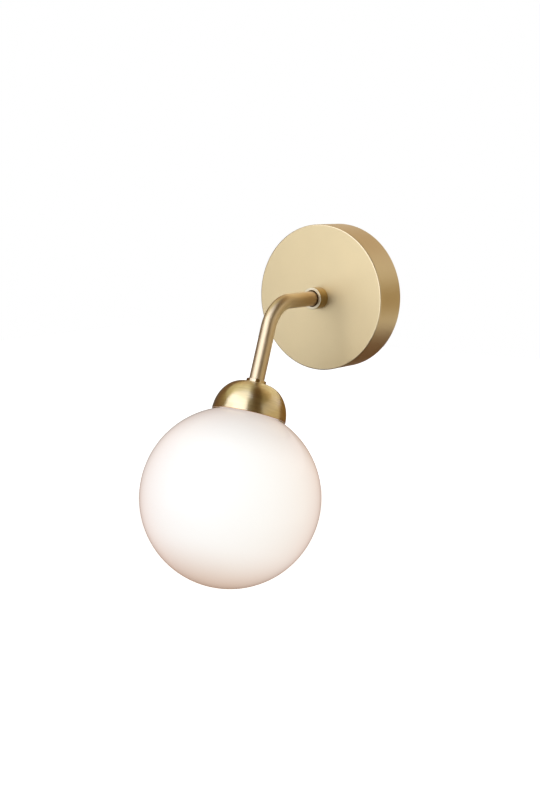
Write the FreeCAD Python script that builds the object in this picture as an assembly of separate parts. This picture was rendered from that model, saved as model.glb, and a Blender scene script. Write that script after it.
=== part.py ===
"""Globe wall sconce: round canopy, bent arm, domed cup and a screw-in opal globe.

All sizes are millimetres. The origin is the centre of the canopy's back, on the
wall plane; +Z is up and the lamp stands out from the wall towards -Y.
The head (dome, lampholder, bulb and globe) is modelled on a straight axis that
runs down from the arm's corner, measured in stations, and is leaned afterwards.
"""
import FreeCAD, Part
import os
from math import cos, pi, radians, sin, sqrt, tan

from FreeCAD import Vector

# Driving sizes: canopy
canopy_diameter = 120.0
canopy_depth = 30.0
canopy_wall = 1.2
canopy_face = 1.5
canopy_edge_radius = 0.9

# Driving sizes: collar at the canopy's centre
collar_diameter = 18.0
collar_height = 10.3
collar_base = 1.5
collar_reveal = 0.7
collar_edge = 0.35

# Driving sizes: arm
tube_diameter = 12.0
tube_wall = 1.0
bend_radius = 30.0
arm_reach = 92.5
lower_run = 62.9
lean_angle = 21.0

# Driving sizes: neck ring and dome
ring_diameter = 15.6
ring_height = 2.7
ring_edge = 0.3
dome_diameter = 58.4
dome_height = 26.0
dome_crown = 17.0
dome_wall = 1.0
dome_rim_edge = 0.35

# Driving sizes: globe
globe_diameter = 140.0
globe_wall = 2.8
globe_rim_gap = 0.7
neck_inset = 6.8
neck_fillet = 1.5

# Driving sizes: wall bracket and its screws
bracket_diameter = 100.0
bracket_thickness = 2.0
cable_hole_diameter = 26.0
slot_spacing = 70.0
slot_width = 5.5
slot_length = 12.0
tab_width = 16.0
tab_depth = 14.0
tab_gap = 0.3
side_screw_diameter = 4.0
side_screw_length = 9.0
side_screw_setback = 8.0
side_screw_sink = 0.1
hex_socket = 2.0
hex_socket_depth = 2.0

# Driving sizes: hollow threaded rods, nuts and washers
rod_wall = 1.45
rod_insertion = 14.0
rod_protrusion = 3.0
nut_across_flats = 14.0
nut_height = 4.0
washer_diameter = 18.0
washer_thickness = 1.0
spacer_diameter = 14.0
spacer_length = 10.0

# Driving sizes: globe carrier and seal
carrier_plate = 1.5
carrier_wall = 1.2
carrier_skirt = 10.0
thread_gap = 0.5
seal_thickness = 1.2
seal_gap = 0.3

# Driving sizes: lampholder
holder_strap = 1.0
holder_strap_width = 12.0
holder_width = 19.2
holder_thickness = 13.0
holder_height = 18.0
holder_drop = 13.0
holder_edge = 1.0
contact_diameter = 3.0
contact_height = 14.0
contact_pocket = 10.5
holder_screw_diameter = 3.0
holder_screw_head = 5.4
holder_screw_head_height = 1.8
holder_screw_reach = 2.8
holder_screw_setback = 5.5

# Driving sizes: bulb
pin_pitch = 9.0
pin_diameter = 1.3
pin_length = 9.0
pin_root = 3.0
pin_clearance = 0.06
bulb_seat_gap = 0.3
bulb_base_diameter = 15.0
bulb_base_height = 9.0
bulb_spigot = 3.0
bulb_diameter = 16.0
bulb_length = 38.0
bulb_wall = 1.0
board_width = 7.0
board_thickness = 1.0
board_height = 28.0
chip_count = 6
chip_size = 2.4
chip_thickness = 0.6

# Driving sizes: wiring
wire_diameter = 2.0
wire_spacing = 3.0
wire_bend = 7.5
wire_lead = 5.0
earth_wire_bend = 4.0
wire_depth = 9.0

# Driving sizes: terminal block
pole_pitch = 10.0
block_width = 20.0
block_depth = 14.0
block_height = 18.0
block_offset = 22.0
clamp_diameter = 5.0
clamp_bore = 3.0
clamp_inset = 2.0
clamp_screw_diameter = 2.6
clamp_screw_inset = 4.5
clamp_screw_sink = 1.0
driver_slot_width = 0.5
driver_slot_depth = 0.8
block_screw_diameter = 3.0
block_screw_head = 5.4
block_screw_head_height = 2.0

# Driving sizes: earthing
earth_screw_diameter = 4.0
earth_screw_head = 8.0
earth_screw_head_height = 2.6
earth_screw_inset = 12.0
lug_thickness = 0.8
lug_diameter = 9.0
lug_tail = 5.0
barrel_diameter = 3.4
barrel_length = 5.0
tag_reach = 15.0

# Clearances
screw_play = 0.15
wire_play = 0.4
close_play = 0.05
wall_play = 0.2

# Worked out: radii and stations
canopy_radius = canopy_diameter / 2
canopy_inner = canopy_radius - canopy_wall
tube_radius = tube_diameter / 2
tube_bore = tube_radius - tube_wall
collar_bore = tube_radius + collar_reveal
rod_radius = tube_bore - close_play
rod_bore = rod_radius - rod_wall
rod_hole = rod_radius + screw_play
dome_radius = dome_diameter / 2
globe_radius = globe_diameter / 2
turn_angle = radians(90 - lean_angle)
bend_tangent = bend_radius * tan(turn_angle / 2)

face_y = -canopy_depth
face_inner_y = -(canopy_depth - canopy_face)
tube_start_y = face_y - collar_base
tag_y = face_inner_y + washer_thickness
nut_y = tag_y + lug_thickness
rod_end_y = nut_y + nut_height + rod_protrusion
earth_screw_drop = bracket_diameter / 2 - earth_screw_inset

dome_top = lower_run + ring_height
rim_station = dome_top + dome_height
dome_under = dome_top + dome_wall
spacer_top = dome_under + washer_thickness
carrier_top = spacer_top + spacer_length
carrier_under = carrier_top + carrier_plate
strap_under = carrier_under + holder_strap
head_nut_bottom = strap_under + nut_height
head_rod_end = head_nut_bottom + rod_protrusion / 3
holder_top = strap_under + holder_drop
holder_bottom = holder_top + holder_height
contact_top = holder_bottom - contact_height
neck_radius = dome_radius - neck_inset
neck_bore = neck_radius - globe_wall
seal_top = carrier_under + seal_gap
neck_top = seal_top + seal_thickness + seal_gap
rim_inner = dome_radius - dome_wall
globe_station = rim_station + globe_rim_gap + sqrt(globe_radius ** 2 - rim_inner ** 2)
bulb_top = holder_bottom + bulb_seat_gap
bulb_base_bottom = bulb_top + bulb_base_height
bulb_tip = bulb_base_bottom + bulb_length

ALONG_Y = Vector(0, 1, 0)
ALONG_Z = Vector(0, 0, 1)
ORIGIN = Vector(0, 0, 0)


# Shapes on the canopy's axis, which runs along Y

def rod_y(radius, start, end, x=0.0, z=0.0):
    """Cylinder along Y between two depths."""
    return Part.makeCylinder(radius, end - start, Vector(x, start, z), ALONG_Y)


def ring_y(outer, inner, start, end, x=0.0, z=0.0):
    """Washer or sleeve along Y."""
    return rod_y(outer, start, end, x, z).cut(rod_y(inner, start - 1, end + 1, x, z))


def box(x0, x1, y0, y1, z0, z1):
    """Box between two corners."""
    return Part.makeBox(x1 - x0, y1 - y0, z1 - z0, Vector(x0, y0, z0))


# Shapes on the head's axis, where a station is the distance down from the corner

def rod_s(radius, top, bottom, x=0.0, y=0.0):
    """Cylinder along the head's axis between two stations."""
    return Part.makeCylinder(radius, bottom - top, Vector(x, y, -bottom), ALONG_Z)


def ring_s(outer, inner, top, bottom):
    """Washer or sleeve on the head's axis."""
    return rod_s(outer, top, bottom).cut(rod_s(inner, top - 1, bottom + 1))


def lean(shape):
    """Move a shape from the straight head axis to its place at the arm's end."""
    placed = shape.copy()
    placed.rotate(ORIGIN, Vector(1, 0, 0), -lean_angle)
    placed.translate(Vector(0, -arm_reach, 0))
    return placed


def lean_point(x, station):
    """Where a point beside the head's axis lies in the part's frame."""
    angle = radians(lean_angle)
    return Vector(x, -arm_reach - station * sin(angle), -station * cos(angle))


# Helpers

def hexagon(across_flats, height):
    """Hexagonal prism standing on the XY plane."""
    corner = across_flats / 2 / cos(pi / 6)
    points = [Vector(corner * cos(k * pi / 3), corner * sin(k * pi / 3), 0) for k in range(7)]
    return Part.Face(Part.makePolygon(points)).extrude(Vector(0, 0, height))


def turn_to_y(shape, start):
    """Stand a shape made along +Z on the canopy's axis, from a depth backwards."""
    shape.rotate(ORIGIN, Vector(1, 0, 0), -90)
    shape.translate(Vector(0, start, 0))
    return shape


def revolve(edges):
    """Turn a closed outline in the XZ plane about Z into a solid."""
    return Part.Face(Part.Wire(edges)).revolve(ORIGIN, ALONG_Z, 360)


def line(a, b):
    """Straight edge between two points of an outline, given as radius and height."""
    return Part.LineSegment(Vector(a[0], 0, a[1]), Vector(b[0], 0, b[1])).toShape()


def quarter_ellipse(centre_radius, base_height, half_width, half_height):
    """Quarter of an ellipse from its top to its widest point."""
    centre = Vector(centre_radius, 0, base_height)
    top = Vector(centre_radius, 0, base_height + half_height)
    side = Vector(centre_radius + half_width, 0, base_height)
    if half_height >= half_width:
        ellipse = Part.Ellipse(top, side, centre)
        return Part.ArcOfEllipse(ellipse, 0, pi / 2).toShape()
    ellipse = Part.Ellipse(side, top, centre)
    return Part.ArcOfEllipse(ellipse, 0, pi / 2).toShape()


def circle_edges(shape, radius, position, axis):
    """The round edges of a shape with this radius, centred at this place along an axis."""
    found = []
    for edge in shape.Edges:
        if edge.Degenerated or not isinstance(edge.Curve, Part.Circle):
            continue
        same_place = abs(edge.Curve.Center.dot(axis) - position) < 1e-4
        if same_place and abs(edge.Curve.Radius - radius) < 1e-4:
            found.append(edge)
    return found


def route(points, radii):
    """Wire through corner points, each corner rounded by its tangent arc."""
    edges = []
    here = points[0]
    for before, corner, after, radius in zip(points, points[1:], points[2:], radii):
        into = (corner - before).normalize()
        out = (after - corner).normalize()
        half = into.getAngle(out) / 2
        start = corner - into * (radius * tan(half))
        end = corner + out * (radius * tan(half))
        inward = (out - into).normalize()
        middle = corner + inward * (radius / cos(half) - radius)
        edges.append(Part.LineSegment(here, start).toShape())
        edges.append(Part.Arc(start, middle, end).toShape())
        here = end
    edges.append(Part.LineSegment(here, points[-1]).toShape())
    return Part.Wire(edges)


def sweep(path, radius, name):
    """Round bar along a path, with its volume compared with section times length."""
    start = path.Edges[0].valueAt(path.Edges[0].FirstParameter)
    direction = path.Edges[0].tangentAt(path.Edges[0].FirstParameter)
    section = Part.Wire(Part.Circle(start, direction, radius).toShape())
    bar = path.makePipeShell([section], True, False)
    expected = pi * radius ** 2 * path.Length
    print(f"{name}: length {path.Length:.1f}, volume {bar.Volume / expected:.4f} of section times length")
    return bar


# Wall bracket and canopy

def make_wall_bracket():
    """Round steel plate with two folded tabs, wall slots and a cable hole."""
    plate = rod_y(bracket_diameter / 2, -bracket_thickness, 0)
    tab_outer = sqrt((canopy_inner - tab_gap) ** 2 - (tab_width / 2) ** 2)
    for side in (1, -1):
        low, high = sorted((side * bracket_diameter / 4, side * tab_outer))
        flange = box(-tab_width / 2, tab_width / 2, -bracket_thickness, 0, low, high)
        low, high = sorted((side * (tab_outer - bracket_thickness), side * tab_outer))
        tab = box(-tab_width / 2, tab_width / 2, -tab_depth, 0, low, high)
        plate = plate.fuse(flange).fuse(tab)
    plate = plate.removeSplitter()
    plate = plate.cut(rod_y(cable_hole_diameter / 2, -tab_depth, 1))
    for side in (1, -1):
        half = (slot_length - slot_width) / 2
        centre = side * slot_spacing / 2
        slot = box(centre - half, centre + half, -tab_depth, 1, -slot_width / 2, slot_width / 2)
        for end in (-half, half):
            slot = slot.fuse(rod_y(slot_width / 2, -tab_depth, 1, centre + end))
        plate = plate.cut(slot)
    hole = Part.makeCylinder(side_screw_diameter / 2 + close_play, canopy_diameter,
                             Vector(0, -side_screw_setback, -canopy_radius), ALONG_Z)
    plate = plate.cut(hole)
    plate = plate.cut(rod_y(earth_screw_diameter / 2 + close_play, -tab_depth, 1, 0, -earth_screw_drop))
    block_screw_z = block_offset + block_height / 2
    return plate.cut(rod_y(block_screw_diameter / 2 + close_play, -tab_depth, 1, 0, block_screw_z))


def make_canopy():
    """Deep round cup, open at the back, with a rounded front edge."""
    cup = rod_y(canopy_radius, face_y, 0)
    cup = cup.makeFillet(canopy_edge_radius, circle_edges(cup, canopy_radius, face_y, ALONG_Y))
    cup = cup.cut(rod_y(canopy_inner, face_inner_y, 1))
    cup = cup.cut(rod_y(rod_hole, face_y - 1, face_inner_y + 1))
    hole = Part.makeCylinder(side_screw_diameter / 2 + screw_play, canopy_diameter + 2,
                             Vector(0, -side_screw_setback, -canopy_radius - 1), ALONG_Z)
    return cup.cut(hole)


def make_side_screws():
    """Two headless screws, top and bottom, from the canopy's wall into the tabs."""
    screws = []
    outer = canopy_radius - side_screw_sink
    for side in (1, -1):
        start = Vector(0, -side_screw_setback, side * outer)
        direction = Vector(0, 0, -side)
        screw = Part.makeCylinder(side_screw_diameter / 2, side_screw_length, start, direction)
        socket = hexagon(hex_socket, hex_socket_depth)
        if side > 0:
            socket.rotate(ORIGIN, Vector(1, 0, 0), 180)
        socket.translate(start)
        screws.append(screw.cut(socket))
    return Part.makeCompound(screws)


# Collar, arm and the fixings behind the canopy's face

def make_arm_collar():
    """Collar round the tube's root; its base is clamped between tube and canopy."""
    front = face_y - collar_height
    body = rod_y(collar_diameter / 2, front, face_y)
    body = body.cut(rod_y(collar_bore, front - 1, face_y - collar_base))
    body = body.cut(rod_y(rod_hole, front, face_y + 1))
    edges = circle_edges(body, collar_diameter / 2, front, ALONG_Y)
    edges += circle_edges(body, collar_bore, front, ALONG_Y)
    return body.makeFillet(collar_edge, edges)


def make_arm_tube():
    """Tube with one bend: level from the canopy, then down and outwards to the dome."""
    corners = [Vector(0, tube_start_y, 0), Vector(0, -arm_reach, 0), lean_point(0, dome_top)]
    path = route(corners, [bend_radius])
    outer = sweep(path, tube_radius, "arm_tube outside")
    inner = sweep(path, tube_bore, "arm_tube bore")
    return outer.cut(inner)


def make_arm_rod():
    """Hollow threaded rod brazed into the tube's root."""
    return ring_y(rod_radius, rod_bore, tube_start_y - rod_insertion, rod_end_y)


def make_nut():
    """Hexagon nut for the hollow rods, standing on the XY plane."""
    nut = hexagon(nut_across_flats, nut_height)
    bore = Part.makeCylinder(rod_radius + close_play, nut_height)
    return nut.cut(bore)


# Earthing

def make_lug(hole_radius, ring_radius, reach):
    """Ring lug flat on the XZ plane, its tail and barrel running down from the ring."""
    ring = rod_y(ring_radius, 0, lug_thickness)
    tail = box(-lug_tail / 2, lug_tail / 2, 0, lug_thickness, -reach, 0)
    barrel_axis = Vector(0, lug_thickness + barrel_diameter / 2 - close_play, -reach)
    barrel = Part.makeCylinder(barrel_diameter / 2, barrel_length, barrel_axis, ALONG_Z)
    lug = ring.fuse(tail).fuse(barrel).removeSplitter()
    lug = lug.cut(rod_y(hole_radius, -1, lug_thickness + 1))
    return lug.cut(Part.makeCylinder(wire_diameter / 2 + close_play, barrel_length + 2,
                                     barrel_axis - Vector(0, 0, 1), ALONG_Z))


def make_earth_tags():
    """One lug under the nut inside the canopy, one under the earth screw."""
    upper = make_lug(rod_hole, washer_diameter / 2 - 1, tag_reach)
    upper.translate(Vector(0, tag_y, 0))
    lower_reach = lug_diameter / 2 + barrel_length
    lower = make_lug(earth_screw_diameter / 2 + screw_play, lug_diameter / 2, lower_reach)
    lower.rotate(ORIGIN, Vector(1, 0, 0), 180)
    lower.translate(Vector(0, -bracket_thickness, -earth_screw_drop))
    return Part.makeCompound([upper, lower])


def make_earth_screw():
    """Pan-head screw that holds the lower lug to the bracket."""
    seat = -bracket_thickness - lug_thickness
    head = rod_y(earth_screw_head / 2, seat - earth_screw_head_height, seat, 0, -earth_screw_drop)
    rim = circle_edges(head, earth_screw_head / 2, seat - earth_screw_head_height, ALONG_Y)
    head = head.makeFillet(earth_screw_head_height / 3, rim)
    shank = rod_y(earth_screw_diameter / 2, seat, -wall_play, 0, -earth_screw_drop)
    return head.fuse(shank).removeSplitter()


# Terminal block

def clamp_places():
    """Sideways places of the two poles."""
    return (-pole_pitch / 2, pole_pitch / 2)


def clamp_screw_heights():
    """Heights of the lamp-side and wall-side clamping screws."""
    return (block_offset + clamp_screw_inset, block_offset + block_height - clamp_screw_inset)


def make_terminal_block():
    """Moulded body with two through passages and screw access from the front."""
    front = -bracket_thickness - block_depth
    top = block_offset + block_height
    body = box(-block_width / 2, block_width / 2, front, -bracket_thickness, block_offset, top)
    for x in clamp_places():
        body = body.cut(Part.makeCylinder(clamp_diameter / 2 + close_play, block_height + 2,
                                          Vector(x, -wire_depth, block_offset - 1), ALONG_Z))
        for z in clamp_screw_heights():
            body = body.cut(rod_y(clamp_screw_diameter / 2 + screw_play, front - 1, -wire_depth, x, z))
    middle = block_offset + block_height / 2
    seat = front + block_screw_head_height
    body = body.cut(rod_y(block_screw_diameter / 2 + screw_play, front - 1, 0, 0, middle))
    return body.cut(rod_y(block_screw_head / 2 + screw_play, front - 1, seat, 0, middle))


def make_terminal_clamps():
    """Brass sleeves that grip the conductors, one to each pole."""
    low = block_offset + clamp_inset
    height = block_height - 2 * clamp_inset
    clamps = []
    for x in clamp_places():
        sleeve = Part.makeCylinder(clamp_diameter / 2, height, Vector(x, -wire_depth, low), ALONG_Z)
        sleeve = sleeve.cut(Part.makeCylinder(clamp_bore / 2, height + 2,
                                              Vector(x, -wire_depth, low - 1), ALONG_Z))
        for z in clamp_screw_heights():
            sleeve = sleeve.cut(rod_y(clamp_screw_diameter / 2 + close_play, -wire_depth - clamp_diameter,
                                      -wire_depth, x, z))
        clamps.append(sleeve)
    return Part.makeCompound(clamps)


def make_terminal_screws():
    """Slotted screws, two to each pole, that press on the conductors."""
    tip = -wire_depth - wire_diameter / 2 - close_play
    start = -bracket_thickness - block_depth + clamp_screw_sink
    screws = []
    for x in clamp_places():
        for z in clamp_screw_heights():
            screw = rod_y(clamp_screw_diameter / 2, start, tip, x, z)
            slot = box(x - clamp_screw_diameter, x + clamp_screw_diameter,
                       start - 1, start + driver_slot_depth,
                       z - driver_slot_width / 2, z + driver_slot_width / 2)
            screws.append(screw.cut(slot))
    return Part.makeCompound(screws)


def make_block_screw():
    """Screw that holds the terminal block to the bracket."""
    front = -bracket_thickness - block_depth
    middle = block_offset + block_height / 2
    head = rod_y(block_screw_head / 2, front, front + block_screw_head_height, 0, middle)
    shank = rod_y(block_screw_diameter / 2, front + block_screw_head_height, -wall_play, 0, middle)
    return head.fuse(shank).removeSplitter()


# Wiring

def make_supply_wire(side, name):
    """Insulated wire from a terminal clamp, through the arm, to the lampholder."""
    x_clamp = side * pole_pitch / 2
    x_arm = side * wire_spacing / 2
    x_pin = side * pin_pitch / 2
    points = [
        Vector(x_clamp, -wire_depth, block_offset + block_height / 2),
        Vector(x_clamp, -wire_depth, block_offset - wire_lead),
        Vector(x_arm, -wire_depth, 0),
        Vector(x_arm, -arm_reach, 0),
        lean_point(x_arm, head_rod_end),
        lean_point(x_pin, holder_top),
        lean_point(x_pin, contact_top),
    ]
    spread = Vector(x_pin - x_arm, 0, holder_top - head_rod_end)
    gentle = 0.45 * min(spread.Length, contact_top - holder_top) / tan(spread.getAngle(ALONG_Z) / 2)
    path = route(points, [4 * wire_bend, wire_bend, bend_radius, gentle, gentle])
    return sweep(path, wire_diameter / 2, name)


def make_earth_wire():
    """Earth wire from the lug on the rod to the lug on the bracket."""
    axis_offset = lug_thickness + barrel_diameter / 2 - close_play
    upper_y = tag_y + axis_offset
    lower_y = -bracket_thickness - axis_offset
    lower_end = -earth_screw_drop + lug_diameter / 2 + barrel_length / 2
    points = [
        Vector(0, upper_y, -tag_reach + barrel_length / 2),
        Vector(0, upper_y, -tag_reach - wire_lead),
        Vector(0, lower_y, lower_end + barrel_length / 2 + wire_lead),
        Vector(0, lower_y, lower_end),
    ]
    return sweep(route(points, [earth_wire_bend, earth_wire_bend]), wire_diameter / 2, "earth_wire")


# Neck ring, dome and what hangs in it

def make_neck_ring():
    """Plain ring round the tube's end, on the dome."""
    ring = rod_s(ring_diameter / 2, lower_run, dome_top)
    edges = circle_edges(ring, ring_diameter / 2, -lower_run, ALONG_Z)
    ring = ring.makeFillet(ring_edge, edges)
    return lean(ring.cut(rod_s(tube_radius + close_play, lower_run - 1, dome_top + 1)))


def make_dome():
    """Spun cup: a flat crown, then a quarter ellipse down to the rim."""
    flat = dome_crown / 2
    outer_width = dome_radius - flat
    inner_width = outer_width - dome_wall
    base = -rim_station
    top = -dome_top
    outline = [
        line((rod_hole, top - dome_wall), (rod_hole, top)),
        line((rod_hole, top), (flat, top)),
        quarter_ellipse(flat, base, outer_width, dome_height),
        line((dome_radius, base), (rim_inner, base)),
        quarter_ellipse(flat, base, inner_width, dome_height - dome_wall),
        line((flat, top - dome_wall), (rod_hole, top - dome_wall)),
    ]
    dome = revolve(outline)
    rim = circle_edges(dome, dome_radius, base, ALONG_Z) + circle_edges(dome, rim_inner, base, ALONG_Z)
    return lean(dome.makeFillet(dome_rim_edge, rim))


def make_head_rod():
    """Hollow threaded rod brazed into the tube's lower end; the head hangs on it."""
    return lean(ring_s(rod_radius, rod_bore, dome_top - rod_insertion, head_rod_end))


def make_dome_washer():
    """Washer under the dome's crown."""
    return lean(ring_s(dome_crown / 2, rod_hole, dome_under, spacer_top))


def make_spacer():
    """Sleeve that sets the carrier's height under the dome."""
    return lean(ring_s(spacer_diameter / 2, rod_hole, spacer_top, carrier_top))


def make_globe_carrier():
    """Plate with a turned-down skirt that takes the globe's neck."""
    skirt_inner = neck_radius + thread_gap
    skirt_outer = skirt_inner + carrier_wall
    body = rod_s(skirt_outer, carrier_top, carrier_under + carrier_skirt)
    body = body.makeFillet(carrier_wall, circle_edges(body, skirt_outer, -carrier_top, ALONG_Z))
    body = body.cut(rod_s(skirt_inner, carrier_under, carrier_under + carrier_skirt + 1))
    return lean(body.cut(rod_s(rod_hole, carrier_top - 1, carrier_under + 1)))


def make_head_nut():
    """Nut that clamps strap, carrier, spacer, washer, dome and ring to the arm."""
    nut = make_nut()
    nut.translate(Vector(0, 0, -head_nut_bottom))
    return lean(nut)


# Lampholder

def make_holder_strap():
    """Folded strap: a plate under the carrier and two legs beside the lampholder."""
    half = holder_width / 2
    depth = holder_strap_width / 2
    legs_end = holder_top + holder_height / 2
    strap = box(-half - holder_strap, half + holder_strap, -depth, depth, -legs_end, -carrier_under)
    strap = strap.cut(box(-half, half, -depth - 1, depth + 1, -legs_end - 1, -strap_under))
    strap = strap.cut(rod_s(rod_hole, carrier_under - 1, strap_under + 1))
    across = Part.makeCylinder(holder_screw_diameter / 2 + screw_play, 4 * half,
                               Vector(-2 * half, 0, -holder_top - holder_screw_setback), Vector(1, 0, 0))
    return lean(strap.cut(across))


def make_lampholder():
    """Ceramic block with a stepped passage for each wire and contact."""
    half = holder_width / 2
    depth = holder_thickness / 2
    body = box(-half, half, -depth, depth, -holder_bottom, -holder_top)
    upright = [e for e in body.Edges if abs(e.tangentAt(e.FirstParameter).z) > 0.99]
    body = body.makeFillet(holder_edge, upright)
    for side in (1, -1):
        x = side * pin_pitch / 2
        body = body.cut(rod_s(wire_diameter / 2 + wire_play, holder_top - 1, contact_top, x))
        body = body.cut(rod_s(contact_diameter / 2 + close_play, contact_top, holder_bottom + 1, x))
        mouth = Vector(side * half, 0, -holder_top - holder_screw_setback)
        body = body.cut(Part.makeCylinder(holder_screw_diameter / 2 + close_play,
                                          holder_screw_reach + close_play, mouth, Vector(-side, 0, 0)))
    return lean(body)


def make_contacts():
    """Two brass sleeves that take the bulb's pins."""
    contacts = []
    for side in (1, -1):
        x = side * pin_pitch / 2
        sleeve = rod_s(contact_diameter / 2, contact_top, holder_bottom - 2 * close_play, x)
        pocket_top = holder_bottom - contact_pocket
        pocket = rod_s(pin_diameter / 2 + pin_clearance, pocket_top, holder_bottom + 1, x)
        contacts.append(sleeve.cut(pocket))
    return lean(Part.makeCompound(contacts))


def make_holder_screws():
    """Two pan-head screws through the strap's legs into the lampholder."""
    screws = []
    for side in (1, -1):
        seat = Vector(side * (holder_width / 2 + holder_strap), 0, -holder_top - holder_screw_setback)
        head = Part.makeCylinder(holder_screw_head / 2, holder_screw_head_height, seat, Vector(side, 0, 0))
        shank = Part.makeCylinder(holder_screw_diameter / 2, holder_strap + holder_screw_reach,
                                  seat, Vector(-side, 0, 0))
        screws.append(head.fuse(shank).removeSplitter())
    return lean(Part.makeCompound(screws))


# Bulb

def make_bulb_base():
    """Moulded base with a spigot for the envelope and two pin sockets."""
    base = rod_s(bulb_base_diameter / 2, bulb_top, bulb_base_bottom)
    spigot_radius = bulb_diameter / 2 - bulb_wall - close_play
    spigot = rod_s(spigot_radius, bulb_base_bottom, bulb_base_bottom + bulb_spigot)
    base = base.fuse(spigot).removeSplitter()
    for side in (1, -1):
        base = base.cut(rod_s(pin_diameter / 2, bulb_top - 1, bulb_top + pin_root, side * pin_pitch / 2))
    return lean(base)


def make_bulb_pins():
    """Two pins held in the base, with rounded tips."""
    pins = []
    for side in (1, -1):
        pin = rod_s(pin_diameter / 2, bulb_top - pin_length, bulb_top + pin_root, side * pin_pitch / 2)
        tip = circle_edges(pin, pin_diameter / 2, -(bulb_top - pin_length), ALONG_Z)
        pins.append(pin.makeFillet(pin_diameter / 5, tip))
    return lean(Part.makeCompound(pins))


def make_bulb_envelope():
    """Frosted capsule with a round end."""
    outer = rod_s(bulb_diameter / 2, bulb_base_bottom, bulb_tip - bulb_diameter / 2)
    outer = outer.fuse(Part.makeSphere(bulb_diameter / 2, Vector(0, 0, -(bulb_tip - bulb_diameter / 2))))
    inner_radius = bulb_diameter / 2 - bulb_wall
    inner = rod_s(inner_radius, bulb_base_bottom - 1, bulb_tip - bulb_diameter / 2)
    inner = inner.fuse(Part.makeSphere(inner_radius, Vector(0, 0, -(bulb_tip - bulb_diameter / 2))))
    return lean(outer.removeSplitter().cut(inner.removeSplitter()))


def make_led_board():
    """Ceramic strip that carries the chips."""
    foot = bulb_base_bottom + bulb_spigot
    return lean(box(-board_width / 2, board_width / 2, -board_thickness / 2, board_thickness / 2,
                    -foot - board_height, -foot))


def make_led_chips():
    """Chips in a row down both faces of the strip."""
    foot = bulb_base_bottom + bulb_spigot
    pitch = board_height / chip_count
    half = chip_size / 2
    chips = []
    for face in (1, -1):
        low, high = sorted((face * board_thickness / 2, face * (board_thickness / 2 + chip_thickness)))
        for k in range(chip_count):
            middle = -foot - pitch * (k + 0.5)
            chips.append(box(-half, half, low, high, middle - half, middle + half))
    return lean(Part.makeCompound(chips))


# Globe

def make_globe_seal():
    """Flat silicone ring on top of the globe's neck."""
    return lean(ring_s(neck_radius, neck_bore, seal_top, seal_top + seal_thickness))


def make_opal_globe():
    """Blown glass sphere with a straight neck."""
    centre = Vector(0, 0, -globe_station)
    body = Part.makeSphere(globe_radius, centre)
    body = body.fuse(rod_s(neck_radius, neck_top, globe_station)).removeSplitter()
    meeting = globe_station - sqrt(globe_radius ** 2 - neck_radius ** 2)
    body = body.makeFillet(neck_fillet, circle_edges(body, neck_radius, -meeting, ALONG_Z))
    hollow = Part.makeSphere(globe_radius - globe_wall, centre)
    hollow = hollow.fuse(rod_s(neck_bore, neck_top - 1, globe_station)).removeSplitter()
    return lean(body.cut(hollow))


PARTS = {
    "wall_bracket": make_wall_bracket,
    "canopy": make_canopy,
    "canopy_side_screws": make_side_screws,
    "arm_collar": make_arm_collar,
    "arm_tube": make_arm_tube,
    "arm_threaded_rod": make_arm_rod,
    "arm_washer": lambda: ring_y(washer_diameter / 2, rod_hole, face_inner_y, tag_y),
    "arm_nut": lambda: turn_to_y(make_nut(), nut_y),
    "earth_tags": make_earth_tags,
    "earth_wire": make_earth_wire,
    "earth_screw": make_earth_screw,
    "terminal_block": make_terminal_block,
    "terminal_clamps": make_terminal_clamps,
    "terminal_screws": make_terminal_screws,
    "terminal_block_screw": make_block_screw,
    "live_wire": lambda: make_supply_wire(1, "live_wire"),
    "neutral_wire": lambda: make_supply_wire(-1, "neutral_wire"),
    "neck_ring": make_neck_ring,
    "dome_cup": make_dome,
    "head_threaded_rod": make_head_rod,
    "dome_washer": make_dome_washer,
    "spacer_sleeve": make_spacer,
    "globe_carrier": make_globe_carrier,
    "head_nut": make_head_nut,
    "lampholder_strap": make_holder_strap,
    "lampholder_body": make_lampholder,
    "lampholder_contacts": make_contacts,
    "lampholder_screws": make_holder_screws,
    "bulb_base": make_bulb_base,
    "bulb_pins": make_bulb_pins,
    "bulb_envelope": make_bulb_envelope,
    "led_board": make_led_board,
    "led_chips": make_led_chips,
    "globe_seal": make_globe_seal,
    "opal_globe": make_opal_globe,
}


def main():
    """Build every piece and write one file for each."""
    os.makedirs("parts", exist_ok=True)
    for name, make in PARTS.items():
        shape = make()
        shape.exportStep(f"parts/{name}.step")
        print(f"{name}: {len(shape.Solids)} solid(s), {shape.Volume:.0f} cubic mm, valid {shape.isValid()}")
    reach = arm_reach + globe_station * sin(radians(lean_angle)) + globe_radius
    print(f"reach from the wall {reach:.1f}, globe centre at station {globe_station:.2f}")


main()
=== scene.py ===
"""Globe wall sconce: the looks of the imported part, laid out as a Blender add-on.

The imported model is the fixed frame. The operators turn, bend and blow smooth pieces over
the nodes that show, give every node a procedural finish, and set the studio around them.
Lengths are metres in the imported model's frame: the origin is the centre of the canopy's
back on the wall plane, +Z is up, and the lamp stands out towards -Y.
The head (ring, dome and globe) sits on a leaned axis that runs down from the arm's corner,
and a station is the distance along that axis from the corner.
"""
from math import cos, pi, radians, sin, sqrt, tan

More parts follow.
